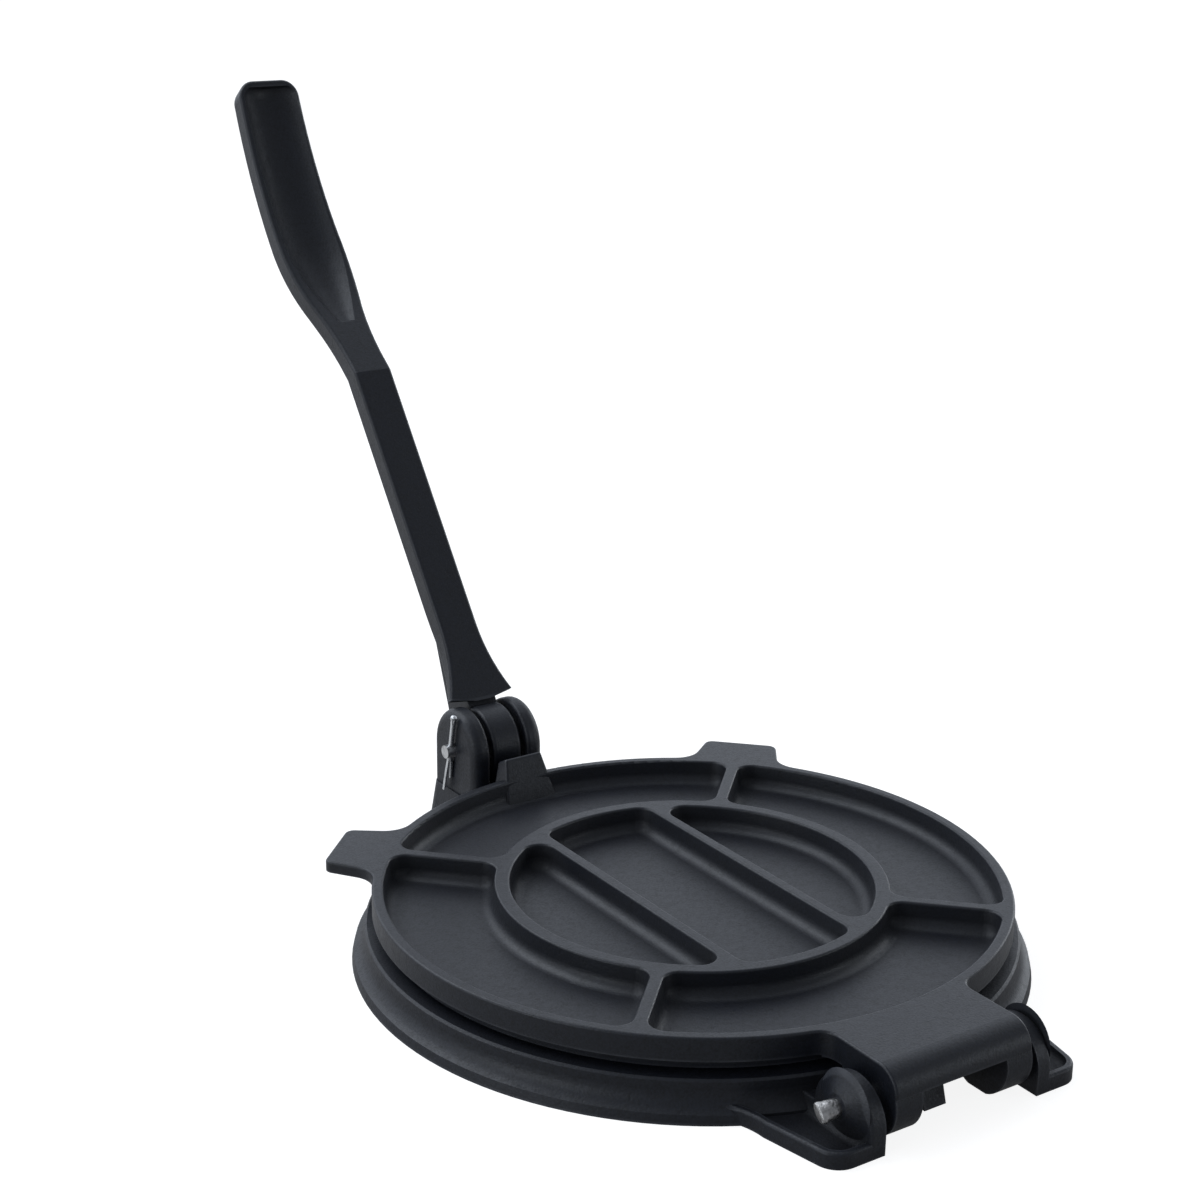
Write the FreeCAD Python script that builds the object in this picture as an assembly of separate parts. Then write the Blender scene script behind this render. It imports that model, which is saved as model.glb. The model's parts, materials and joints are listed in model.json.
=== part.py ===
import FreeCAD, Part
import math
import os

# A hand press for flattening dough: two cast discs hinged at the front (-Y),
# and a lever at the back (+Y) that is swung over to press the upper disc down.
# Millimetres and degrees, +Z up. The pieces are modelled about the centre of the
# base disc, on the table, and are set down with the origin in the middle of the
# whole length, on the table.

# Driving dimensions shared by the pieces
running_gap = 0.06          # radial gap between a pin and its hole
cut_overrun = 6.0           # how far cutting solids run past what they cut
edge_round = 0.8            # worn edge of the castings
plate_gap = 0.7             # gap between the pressing faces when closed
upright_share = 0.125       # how much an edge may lean, to its height, and count as upright
level_share = 0.01          # how much it may rise, to the worn edge, and count as level

# Driving dimensions of the base disc
base_top = 12.0             # height of the pressing face
base_radius = 104.0         # upright wall of the disc
base_flare = 4.2            # how far the foot of the skirt stands out from that wall
base_band_step = 0.7        # how far the top of the foot band lies inside its foot
base_band_height = 3.0      # height of the foot band
base_cove_top = 8.5         # where the flare ends under the upright wall
base_chamfer = 0.7          # worn corner of the pressing face
base_web = 5.0              # thickness of the disc
base_skirt = 4.2            # thickness of the skirt at its foot
base_draft = 1.2            # how much the skirt thickens up to the disc
under_rib_width = 4.0       # ribs under the disc
under_rib_lift = 1.5        # how far the ribs stop short of the table
under_ring_share = 0.58     # radius of the ring rib under the disc, as a share of the disc's
under_rib_count = 4         # straight ribs under the disc

# Driving dimensions of the plate hinge, at -Y
hinge_offset = 12.8         # how far the hinge axis lies beyond the upright wall
hinge_height = 12.0         # height of the hinge axis
hinge_pin_radius = 2.5
hinge_pin_stick = 6.2       # how far the pin stands out of the left ear's boss
hinge_pin_right = 1.2       # and out of the right one
hinge_peen_length = 3.2     # flattened end of the pin
hinge_peen_half = 3.1       # half width of the flattened end
hinge_peen_thick = 1.3      # half thickness of the flattened end
hinge_peen_turn = 45.0      # how far that end is turned about the pin, from level
boss_lift = 3.4             # low boss round the pin on each ear's outer side
boss_foot_radius = 10.2
boss_top_radius = 4.0
boss_edge = 1.0
ear_inner = 28.2            # inner face of each base ear from the middle
ear_thick = 5.2
ear_round = 12.4            # radius of the ear's top
ear_round_height = 7.0
ear_back_depth = 6.0        # how far the ear runs into the disc
ear_edge = 1.1              # rounded edge of the ear
foot_lead = 11.2            # front of the ears and feet beyond the hinge axis
foot_front_half = 45.4      # half width over the feet at the front
foot_back_half = 50.4       # half width over the feet where they turn out
foot_back_inset = 13.8      # how far that turn lies inside the hinge axis
foot_height = 5.0
foot_corner = 7.5           # rounded outer corner of each foot
foot_lip = 2.0              # raised lip round each foot's hollow
foot_floor = 2.2            # floor of that hollow
foot_hollow_round = 2.4
foot_edge = 1.0
foot_turn_angle = 37.0      # where the foot runs into the skirt, from -Y
foot_turn_share = 0.14      # bulge of that hollow turn, as a share of its chord
stop_half = 4.0             # lug between the knuckles that stops the plate
stop_height = 5.5
stop_slope = 1.6

# Driving dimensions of the lever bracket, at +Y
cheek_stand = 6.2           # how far the cheeks stand beyond the upright wall
cheek_rise = 1.2            # how far the lowest point of a cheek's circle lies above the disc
pivot_pin_radius = 2.4
cheek_inner = 7.8           # inner face of each cheek from the middle
cheek_inner_edge = 1.3      # rounded inner edge of the cheek
cheek_thick = 6.7
cheek_round = 14.7          # radius of the cheek's top
cheek_edge = 3.6            # rounded outer edge of the cheek
arm_ledge = 0.5             # how far the arm that carries the cheeks stands out beside them
arm_foot_flare = 1.9        # how much wider the arm is on the table
arm_corner = 4.0
arm_root = 7.0              # plan fillet between the arm and the skirt

# Driving dimensions of the upper disc
plate_inset = 2.4           # how far the rim lies inside the base disc's wall
plate_top = 23.7
rim_height = 7.5
press_inset = 3.1           # how far the pressing face lies inside the rim
press_cove = 1.7            # hollow corner between pressing face and rim
rim_width = 3.6
pocket_depth = 8.0
pocket_draft = 1.0          # how much the pocket walls lean
pocket_corner = 5.6
pocket_floor_round = 3.9
ring_share = 0.5955         # radius of the ring rib, as a share of the rim's
ring_width = 4.7
bar_share = 0.2185          # reach of each straight bar, as a share of the rim's radius
bar_width = 3.6
spoke_width = 4.0
spoke_count = 4
tab_length = 16.6           # how far each lifting tab stands out of the rim
tab_width = 25.5
tab_thick = 3.8
tab_corner = 3.2
tab_neck_length = 6.4       # where the tab's side turns out to the rim
tab_neck_half = 14.4
tab_root = 9.0              # hollow turn from the tab's side into the rim
tab_angle = 45.0            # tabs either side of +Y
bridge_half = 25.2          # half width of the bridge to the hinge
bridge_lead = 11.2          # front of the bridge beyond the hinge axis
bridge_round = 8.0          # rounded front of the bridge
bridge_lift = 15.6          # underside of the bridge
bridge_root = 5.5
knuckle_inner = 15.6
knuckle_radius = 11.5
knuckle_flat = 10.9         # flat under the knuckle, below the axis
pad_inset = 7.0             # front of the press pad inside the rim, at its foot
pad_ridge_inset = 0.6       # ridge that the lever presses on
pad_height = 31.0
pad_overhang = 4.0          # how far the pad stands out over the rim
pad_back_height = 28.4
pad_half = 7.3              # half width at the ridge
pad_foot_half = 10.4        # half width at the foot
pad_edge = 1.0

# Driving dimensions of the lever, along it from the pivot and across it
lever_lean = 53.3           # lean of the blade above level, at rest
hub_inset = 0.7             # how much smaller the hub is than the cheeks
hub_half = 5.8
hub_edge = 1.4
heel_gap = 0.3              # gap under the heel that rests in the bracket
heel_reach = 8.0
lever_front = 7.0           # front face in front of the pivot
blade_thick = 8.4
blade_half = 7.6
flange_start = 16.4         # corners of the front flange
flange_sag = 2.2            # how far its lower end hangs below them in the middle
flange_half = 13.0
flange_end = 43.0           # where the flange has narrowed to the blade
flange_thick = 3.6
flange_slant = 3.0          # how far its lower end leans back up under it
flange_blend = 52.0         # where the back of the blade is straight
flange_share = 0.03         # bulge of the flange's back, as a share of its chord
web_end = 47.0              # end of the web behind the flange
neck_angle = 17.0
neck_radius = 150.0
lever_reach = 275.0         # whole length from the pivot
grip_low_inset = 58.0       # lowest point of the grip's curve, from the lever's end
grip_drop = 7.8             # how far that point lies behind the pivot line
grip_radius = 200.0
grip_thick = 8.0
grip_half = 13.5
grip_widen_gap = 4.8        # how far past the neck's bend the blade starts to widen
grip_wide_inset = 68.0      # where the grip is at its widest
grip_end_half = 12.6
grip_corner = 6.5
lever_edge = 1.3
scoop_depth = 5.2           # trough along the grip's front
scoop_half = 11.2
scoop_start_inset = 114.0   # where the trough starts, from the lever's end
scoop_wide_inset = 66.0     # where it is at its widest
scoop_end_inset = 2.7
scoop_corner = 4.5
scoop_slices = 5            # sections from the trough's tip to its widest place
scoop_long_slices = 6       # sections along its even part
scoop_end_slices = 4        # sections round its end
scoop_end_turn = 75.0       # how far the corner turns that those sections follow

# Driving dimensions of the lever's pin and its split pin
pivot_pin_stick = 3.6       # how far the pin stands out for the split pin
pivot_head_radius = 4.4
pivot_head_thick = 2.2
pivot_seat_gap = 0.1        # gap under the pin's head
split_wire_radius = 0.5
split_squeeze = 0.08        # how far each leg is pressed into the other
split_hole_gap = 0.15       # gap round the split pin in its hole
split_face_gap = 0.5        # gap between the split pin and the cheek
split_tilt = 15.0           # how far the split pin is turned about the lever's axis
split_rise = 12.0           # eye's centre from the pin's middle
split_eye_radius = 1.1
split_long_leg = 16.3
split_short_leg = 10.8
split_straight = 4.6        # legs stay together this far below the axis
split_spread = 1.0

# Levels and places worked out from them
base_foot_radius = base_radius + base_flare
base_band_radius = base_foot_radius - base_band_step
under_ring_radius = base_radius * under_ring_share
hinge_reach = base_radius + hinge_offset
ear_back = base_radius - ear_back_depth
foot_front = hinge_reach + foot_lead
ear_round_reach = foot_front - ear_round
foot_back_reach = hinge_reach - foot_back_inset
pivot_reach = base_radius + cheek_stand + cheek_round
pivot_height = base_top + cheek_rise + cheek_round
hub_radius = cheek_round - hub_inset
plate_radius = base_radius - plate_inset
press_radius = plate_radius - press_inset
ring_radius = plate_radius * ring_share
bar_reach = plate_radius * bar_share
tab_reach = plate_radius + tab_length
tab_neck_reach = plate_radius + tab_neck_length
bridge_front = hinge_reach + bridge_lead
pad_reach = plate_radius - pad_inset
pad_ridge_reach = plate_radius - pad_ridge_inset
pad_back_reach = plate_radius + pad_overhang
grip_low = lever_reach - grip_low_inset
neck_run = neck_radius * math.sin(math.radians(neck_angle))
neck_rise = neck_radius * (1 - math.cos(math.radians(neck_angle)))
neck_drop = lever_front + grip_drop - neck_rise
neck_bend = grip_low - neck_run - neck_drop / math.tan(math.radians(neck_angle))
grip_widen_start = neck_bend + grip_widen_gap
grip_widen_end = lever_reach - grip_wide_inset
scoop_start = lever_reach - scoop_start_inset
scoop_wide = lever_reach - scoop_wide_inset
scoop_end = lever_reach - scoop_end_inset
press_level = base_top + plate_gap
rim_foot = plate_top - rim_height
pocket_floor = plate_top - pocket_depth
rim_inner = plate_radius - rim_width
ring_inner = ring_radius - ring_width / 2
ring_outer = ring_radius + ring_width / 2
ear_outer = ear_inner + ear_thick
boss_outer = ear_outer + boss_lift
cheek_outer = cheek_inner + cheek_thick
arm_half = cheek_outer + arm_ledge


def vector(x, y, z):
    return FreeCAD.Vector(x, y, z)


def plan(spot):
    """A point of an outline seen from above."""
    return vector(spot[0], spot[1], 0)


def side(spot):
    """A point of an outline seen from +X, as (y, z)."""
    return vector(0, spot[0], spot[1])


def section(spot):
    """A point of a turned section, as (radius, z)."""
    return vector(spot[0], 0, spot[1])


def face_of(view, start, steps):
    """A flat face. A step of one point is a line, and one of two is an arc."""
    edges = []
    here = start
    for step in steps:
        if len(step) == 1:
            edges.append(Part.makeLine(view(here), view(step[0])))
        else:
            edges.append(Part.Arc(view(here), view(step[0]), view(step[1])).toShape())
        here = step[-1]
    if view(here).distanceToPoint(view(start)) > 0:
        edges.append(Part.makeLine(view(here), view(start)))
    return Part.Face(Part.Wire(edges))


def mirrored_back(start, steps):
    """Steps that lead back from the end of a path to its start, mirrored in X."""
    back = []
    spots = [start] + [step[-1] for step in steps]
    for index in reversed(range(len(steps))):
        way = steps[index][:-1] + [spots[index]]
        back.append([(-spot[0], spot[1]) for spot in way])
    return back


def wall_turn(spot, way, hand, radius, wall):
    """The hollow turn from a straight side into a round wall, centred on the origin.

    The side leads along way from spot to the wall, and the turn lies on its hand side.
    It gives the points on the side, in the middle and on the wall."""
    length = math.hypot(way[0], way[1])
    way = (way[0] / length, way[1] / length)
    out = (-way[1] * hand, way[0] * hand)
    base = (spot[0] + out[0] * radius, spot[1] + out[1] * radius)
    along = base[0] * way[0] + base[1] * way[1]
    rest = base[0] ** 2 + base[1] ** 2 - (wall + radius) ** 2
    run = -along - math.sqrt(along ** 2 - rest)
    centre = (base[0] + way[0] * run, base[1] + way[1] * run)
    side_spot = (centre[0] - out[0] * radius, centre[1] - out[1] * radius)
    share = wall / (wall + radius)
    wall_spot = (centre[0] * share, centre[1] * share)
    middle_angle = math.degrees(math.atan2(side_spot[1] + wall_spot[1] - 2 * centre[1],
                                           side_spot[0] + wall_spot[0] - 2 * centre[0]))
    return side_spot, on_circle(centre, radius, middle_angle), wall_spot


def upright(face, low, high):
    """The plan face pushed up from one level to another."""
    moved = face.copy()
    moved.translate(vector(0, 0, low))
    return moved.extrude(vector(0, 0, high - low))


def across(face, left, right):
    """The side face pushed along X from one place to another."""
    moved = face.copy()
    moved.translate(vector(left, 0, 0))
    return moved.extrude(vector(right - left, 0, 0))


def turned(face):
    return face.revolve(vector(0, 0, 0), vector(0, 0, 1), 360)


def bar_along_x(radius, left, right, y, z):
    return Part.makeCylinder(radius, right - left, vector(left, y, z), vector(1, 0, 0))


def box_between(low, high):
    size = [high[axis] - low[axis] for axis in range(3)]
    return Part.makeBox(size[0], size[1], size[2], vector(*low))


def polar(radius, angle):
    """A plan point at this angle from +X."""
    return (radius * math.cos(math.radians(angle)), radius * math.sin(math.radians(angle)))


def on_circle(centre, radius, angle):
    spot = polar(radius, angle)
    return (centre[0] + spot[0], centre[1] + spot[1])


def bulged(start, end, share):
    """The middle point of an arc that bulges left of the way from start to end."""
    return ((start[0] + end[0]) / 2 - (end[1] - start[1]) * share,
            (start[1] + end[1]) / 2 + (end[0] - start[0]) * share)


def mirrored(shape):
    return shape.mirror(vector(0, 0, 0), vector(1, 0, 0))


def is_upright(edge):
    ends = [vertex.Point for vertex in edge.Vertexes]
    if len(ends) < 2:
        return False
    sideways = math.hypot(ends[0].x - ends[1].x, ends[0].y - ends[1].y)
    return sideways < abs(ends[0].z - ends[1].z) * upright_share


def is_ring(edge):
    return len(edge.Vertexes) < 2


def lies_at(edge, level):
    """True where the whole edge lies at one level."""
    box = edge.BoundBox
    return max(abs(box.ZMin - level), abs(box.ZMax - level)) < edge_round * level_share


def rounded(shape, radius, chosen):
    return shape.makeFillet(radius, [edge for edge in shape.Edges if chosen(edge)])


# The base disc


def skirt_disc():
    """The turned disc: hollow underneath, with a flared skirt."""
    under = base_top - base_web
    inner = base_foot_radius - base_skirt
    cove_width = base_band_radius - base_radius
    cove_height = base_cove_top - base_band_height
    cove_radius = (cove_width ** 2 + cove_height ** 2) / (2 * cove_width)
    cove_centre = (base_radius + cove_radius, base_cove_top)
    half_turn = math.degrees(math.asin(cove_height / cove_radius)) / 2
    profile = face_of(section, (0, under), [
        [(inner - base_draft, under)],
        [(inner, 0)],
        [(base_foot_radius, 0)],
        [(base_band_radius, base_band_height)],
        [on_circle(cove_centre, cove_radius, 180 + half_turn), (base_radius, base_cove_top)],
        [(base_radius, base_top - base_chamfer)],
        [(base_radius - base_chamfer, base_top)],
        [(0, base_top)]])
    return turned(profile)


def under_ribs():
    """A ring rib and straight ribs under the disc."""
    under = base_top - base_web
    height = under - under_rib_lift
    outer = under_ring_radius + under_rib_width / 2
    inner = under_ring_radius - under_rib_width / 2
    low = vector(0, 0, under_rib_lift)
    ribs = Part.makeCylinder(outer, height, low).cut(Part.makeCylinder(inner, height, low))
    length = base_foot_radius - base_skirt - under_ring_radius
    for turn in range(under_rib_count):
        rib = Part.makeBox(length, under_rib_width, height,
                           vector(under_ring_radius, -under_rib_width / 2, under_rib_lift))
        angle = 180 / under_rib_count + turn * 360 / under_rib_count
        rib.rotate(vector(0, 0, 0), vector(0, 0, 1), angle)
        ribs = ribs.fuse(rib)
    return ribs


def foot_outline(inset, inner):
    """Plan of one hinge foot on the +X side, drawn in from its edge by inset."""
    turn = polar(base_radius - inset, foot_turn_angle - 90)
    waist = (foot_back_half - inset, -foot_back_reach)
    corner = foot_corner - inset
    front = -foot_front + inset
    lean = math.atan2(foot_back_half - foot_front_half, foot_front - foot_back_reach)
    # The side line leans, so the corner arc turns through less than a right angle
    centre_y = front + corner
    edge_x = waist[0] - (centre_y - -foot_back_reach) * -math.tan(lean)
    centre_x = edge_x - corner / math.cos(lean)
    end_angle = -math.degrees(lean)
    return face_of(plan, (inner, -ear_back), [
        [(inner, front)],
        [(centre_x, front)],
        [on_circle((centre_x, centre_y), corner, (end_angle - 90) / 2),
         on_circle((centre_x, centre_y), corner, end_angle)],
        [waist],
        [bulged(waist, turn, foot_turn_share), turn]])


def hinge_foot():
    """One low foot with a hollow inside its lip, on the +X side."""
    foot = upright(foot_outline(0, ear_inner), 0, foot_height)

    def outer_edge(edge):
        spot = edge.CenterOfMass
        return lies_at(edge, foot_height) and spot.x > ear_outer and edge.BoundBox.YMin < -ear_back

    foot = rounded(foot, foot_edge, outer_edge)
    hollow = upright(foot_outline(foot_lip, ear_outer), foot_floor, foot_height + cut_overrun)

    def floor_edge(edge):
        return lies_at(edge, foot_floor) and edge.BoundBox.YMin < -ear_back - edge_round

    foot = foot.cut(rounded(hollow, foot_hollow_round, floor_edge))
    ear = across(face_of(side, (-ear_back, 0), [
        [(-foot_front, 0)],
        [(-foot_front, ear_round_height)],
        [(-ear_round_reach, ear_round_height + ear_round),
         (-ear_round_reach + ear_round, ear_round_height)],
        [(-ear_back, ear_round_height)]]), ear_inner, ear_outer)

    def ear_rim(edge):
        box = edge.BoundBox
        beside = box.XMin > ear_outer - edge_round
        return beside and box.ZMax > ear_round_height - edge_round and box.YMin < -hinge_reach

    boss = Part.makeCone(boss_foot_radius, boss_top_radius, boss_lift,
                         vector(ear_outer, -hinge_reach, hinge_height), vector(1, 0, 0))

    def boss_top(edge):
        return edge.BoundBox.XMin > boss_outer - boss_edge and edge.BoundBox.XLength < boss_edge

    return foot.fuse([rounded(ear, ear_edge, ear_rim), rounded(boss, boss_edge, boss_top)])


def stop_lug():
    return across(face_of(side, (-ear_back, 0), [
        [(-hinge_reach, 0)],
        [(-hinge_reach + stop_slope, stop_height)],
        [(-ear_back, stop_height)]]), -stop_half, stop_half)


def bracket_arm():
    """The arm beyond the skirt that carries the lever's cheeks."""
    back = pivot_reach + cheek_round
    layers = []
    for level, grow, wall in ((0, arm_foot_flare, base_foot_radius), (base_top, 0, base_radius)):
        half = arm_half + grow
        end = back + grow
        corner = arm_corner + grow
        side_spot, middle, start = wall_turn((half, end), (0, -1), 1, arm_root, wall)
        steps = [
            [middle, side_spot],
            [(half, end - corner)],
            [on_circle((half - corner, end - corner), corner, 45), (half - corner, end)]]
        back_steps = mirrored_back(start, steps)
        outline = face_of(plan, start, steps + [[(corner - half, end)]] + back_steps)
        outline.translate(vector(0, 0, level))
        layers.append(outline.OuterWire)
    return Part.makeLoft(layers, True, True)


def cheek():
    """One upright cheek with a round top, on the +X side."""
    front = pivot_reach - cheek_round
    back = pivot_reach + cheek_round
    solid = across(face_of(side, (front, base_top - base_web), [
        [(front, pivot_height)],
        [(pivot_reach, pivot_height + cheek_round), (back, pivot_height)],
        [(back, base_top - base_web)]]), cheek_inner, cheek_outer)

    def outer_rim(edge):
        box = edge.BoundBox
        return box.XMin > cheek_outer - edge_round and box.ZMax > base_top

    solid = rounded(solid, cheek_edge, outer_rim)

    def inner_rim(edge):
        box = edge.BoundBox
        return box.XMax < cheek_inner + edge_round and box.ZMax > base_top

    return rounded(solid, cheek_inner_edge, inner_rim)


def base_plate():
    foot = hinge_foot()
    one_cheek = cheek()
    arm = bracket_arm()
    solid = skirt_disc().fuse([under_ribs(), foot, mirrored(foot), stop_lug(), arm])
    solid = solid.removeSplitter().fuse([one_cheek, mirrored(one_cheek)])
    hole = bar_along_x(hinge_pin_radius + running_gap, -boss_outer - cut_overrun,
                       boss_outer + cut_overrun, -hinge_reach, hinge_height)
    pivot_hole = bar_along_x(pivot_pin_radius + running_gap, -cheek_outer - cut_overrun,
                             cheek_outer + cut_overrun, pivot_reach, pivot_height)
    return solid.cut([hole, pivot_hole]).removeSplitter()


# The upper disc


def press_disc():
    """The thin disc under the rim, whose underside presses."""
    hollow = press_cove * (1 - math.sqrt(0.5))
    profile = face_of(section, (0, press_level), [
        [(press_radius, press_level)],
        [(press_radius, rim_foot - press_cove)],
        [(press_radius + hollow, rim_foot - hollow), (press_radius + press_cove, rim_foot)],
        [(press_radius, rim_foot + edge_round)],
        [(0, rim_foot + edge_round)]])
    return turned(profile)


def angle_of(spot):
    return math.degrees(math.atan2(spot[1], spot[0]))


def rim_arc(start, end):
    """A step along the rim from one of its points to another."""
    return [polar(plate_radius, (angle_of(start) + angle_of(end)) / 2), end]


def spun(spot, angle):
    return polar(math.hypot(spot[0], spot[1]), angle_of(spot) + angle)


def rim_outline():
    """Plan of the rim with the bridge and the two lifting tabs."""
    start = (0, -bridge_front)
    side_spot, middle, rim_spot = wall_turn((bridge_half, -bridge_front), (0, 1), -1, bridge_root,
                                            plate_radius)
    steps = [[(bridge_half, -bridge_front)], [side_spot], [middle, rim_spot]]
    tip = (tab_reach, tab_width / 2)
    neck = (tab_neck_reach, tab_neck_half)
    tab_side, tab_middle, tab_rim = wall_turn(tip, (neck[0] - tip[0], neck[1] - tip[1]), -1,
                                             tab_root, plate_radius)
    lean = angle_of((tip[0] - neck[0], neck[1] - tip[1]))
    drop = tab_corner * math.tan(math.radians(45 - lean / 2))
    corner = (tab_reach - tab_corner, tab_width / 2 - drop)
    upper = [tip, (tab_reach, corner[1]), on_circle(corner, tab_corner, (90 - lean) / 2),
             on_circle(corner, tab_corner, 90 - lean), tab_side, tab_middle, tab_rim]
    lower = [(spot[0], -spot[1]) for spot in upper]
    upper = [spun(spot, 90 - tab_angle) for spot in upper]
    lower = [spun(spot, 90 - tab_angle) for spot in lower]
    steps += [rim_arc(rim_spot, lower[6]), [lower[5], lower[4]], [lower[3]], [lower[2], lower[1]],
              [upper[1]], [upper[2], upper[3]], [upper[4]], [upper[5], upper[6]],
              rim_arc(upper[6], (0, plate_radius))]
    return face_of(plan, start, steps + mirrored_back(start, steps))


def rim_slab():
    """The rim, bridge and tabs, still without pockets."""
    slab = upright(rim_outline(), bridge_lift, plate_top)

    def bridge_nose(edge):
        return lies_at(edge, plate_top) and edge.BoundBox.YMax < -bridge_front + edge_round

    slab = rounded(slab, bridge_round, bridge_nose)

    def top_edge(edge):
        turns_down = edge.BoundBox.YMax < -bridge_front + bridge_round + edge_round
        return lies_at(edge, plate_top) and not turns_down

    slab = rounded(slab, edge_round, top_edge)
    under = Part.makeCylinder(2 * plate_radius, rim_foot - bridge_lift, vector(0, 0, bridge_lift))
    side_room = bridge_half + bridge_root
    nose = box_between((-side_room, -bridge_front, bridge_lift),
                       (side_room, -press_radius, rim_foot))
    slab = slab.cut(under.cut(nose))
    tab_room = Part.makeCylinder(2 * plate_radius, plate_top - tab_thick - rim_foot,
                                 vector(0, 0, rim_foot), vector(0, 0, 1), 180)
    return slab.cut(tab_room.cut(Part.makeCylinder(plate_radius, plate_top, vector(0, 0, 0))))


def pocket(face):
    """A cutter for one pocket: leaning walls, round corners and a round floor."""
    blank = upright(face, pocket_floor, plate_top)
    blank = rounded(blank, pocket_corner, is_upright)
    mouth = max(blank.Faces, key=lambda one: one.CenterOfMass.z).OuterWire
    floor = mouth.makeOffset2D(-pocket_draft)
    floor.translate(vector(0, 0, pocket_floor - plate_top))
    solid = Part.makeLoft([floor, mouth], True, True)
    return rounded(solid, pocket_floor_round, lambda edge: lies_at(edge, pocket_floor))


def disc_face(radius):
    return Part.Face(Part.Wire(Part.makeCircle(radius, vector(0, 0, 0))))


def plan_box(left, front, right, back):
    return Part.Face(Part.makePolygon([plan(spot) for spot in (
        (left, front), (right, front), (right, back), (left, back), (left, front))]))


def inner_pockets():
    """The long middle pocket and the two half moons beside it."""
    inside = disc_face(ring_inner)
    near = bar_reach - bar_width / 2
    far = bar_reach + bar_width / 2
    middle = inside.common(plan_box(-near, -ring_radius, near, ring_radius)).Faces[0]
    moon = inside.common(plan_box(far, -ring_radius, ring_radius, ring_radius)).Faces[0]
    moon_cut = pocket(moon)
    return [pocket(middle), moon_cut, mirrored(moon_cut)]


def outer_pockets():
    """The ring of pockets between the straight spokes."""
    band = disc_face(rim_inner).cut(disc_face(ring_outer))
    step = 360 / spoke_count
    spokes = []
    for turn in range(spoke_count):
        spoke = plan_box(0, -spoke_width / 2, plate_radius, spoke_width / 2)
        spoke.rotate(vector(0, 0, 0), vector(0, 0, 1), step / 2 + turn * step)
        spokes.append(spoke)
    return [pocket(face) for face in band.cut(spokes).Faces]


def knuckle():
    """One knuckle under the bridge, round about the hinge axis."""
    flat = math.degrees(math.asin(knuckle_flat / knuckle_radius))
    rise = math.degrees(math.asin((bridge_lift - hinge_height) / knuckle_radius))
    axis = (-hinge_reach, hinge_height)
    inside = plate_top - bridge_round / 2
    return across(face_of(side, on_circle(axis, knuckle_radius, -flat), [
        [on_circle(axis, knuckle_radius, flat - 180)],
        [on_circle(axis, knuckle_radius, 180), on_circle(axis, knuckle_radius, 180 - rise)],
        [(-hinge_reach - knuckle_radius / 2, inside)],
        [(-hinge_reach + knuckle_radius, inside)],
        [(-hinge_reach + knuckle_radius, hinge_height)],
        [on_circle(axis, knuckle_radius, -flat / 2), on_circle(axis, knuckle_radius, -flat)]]),
        knuckle_inner, bridge_half)


def press_pad():
    """The raised wedge on the rim that the lever bears on."""
    foot = pocket_floor - edge_round
    profile = face_of(side, (pad_reach, foot), [
        [(pad_ridge_reach, pad_height)],
        [(pad_back_reach, pad_back_height)],
        [(pad_back_reach, rim_foot)],
        [(plate_radius, rim_foot)],
        [(plate_radius, foot)]])
    solid = across(profile, -pad_foot_half, pad_foot_half)
    rise = pad_height - foot
    for hand in (-1, 1):
        lean = Part.Face(Part.makePolygon([vector(hand * x, 0, z) for x, z in (
            (pad_foot_half, foot), (pad_half, pad_height), (pad_half, pad_height + rise),
            (pad_foot_half + rise, pad_height + rise), (pad_foot_half + rise, foot),
            (pad_foot_half, foot))]))
        lean.translate(vector(0, pad_reach - cut_overrun, 0))
        solid = solid.cut(lean.extrude(vector(0, pad_back_reach - pad_reach + 2 * cut_overrun, 0)))

    def upper(edge):
        return edge.BoundBox.ZMax > pad_back_height - edge_round

    return rounded(solid, pad_edge, upper)


def top_plate():
    one_knuckle = knuckle()
    solid = rim_slab().fuse([press_disc(), one_knuckle, mirrored(one_knuckle)]).removeSplitter()
    solid = solid.cut(inner_pockets() + outer_pockets())

    def pocket_edge(edge):
        reach = max(math.hypot(vertex.Point.x, vertex.Point.y) for vertex in edge.Vertexes)
        return lies_at(edge, plate_top) and reach < rim_inner + edge_round / 2

    solid = rounded(solid, edge_round, pocket_edge)
    solid = solid.fuse(press_pad()).removeSplitter()
    hole = bar_along_x(hinge_pin_radius + running_gap, -bridge_half - cut_overrun,
                       bridge_half + cut_overrun, -hinge_reach, hinge_height)
    return solid.cut(hole)


# The lever


def lever_line(blade_depth, grip_depth):
    """Points of a line that lies behind the lever's front face by these depths.

    They are kink, start, (through, low), (through, last), each as (along, across)."""
    turn = math.radians(neck_angle)
    low = (grip_low, -grip_drop - grip_depth)
    first = neck_radius + grip_depth
    second = grip_radius + grip_depth
    bend = (grip_low, low[1] + first)
    rise = (grip_low, low[1] + second)
    start = on_circle(bend, first, -90 - neck_angle)
    half = on_circle(bend, first, -90 - neck_angle / 2)
    last_turn = math.degrees(math.asin((lever_reach - grip_low) / grip_radius))
    last = on_circle(rise, second, last_turn - 90)
    last_half = on_circle(rise, second, last_turn / 2 - 90)
    level = lever_front - blade_depth
    kink = (start[0] - (level - start[1]) / math.tan(turn), level)
    return kink, start, half, low, last_half, last


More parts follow.
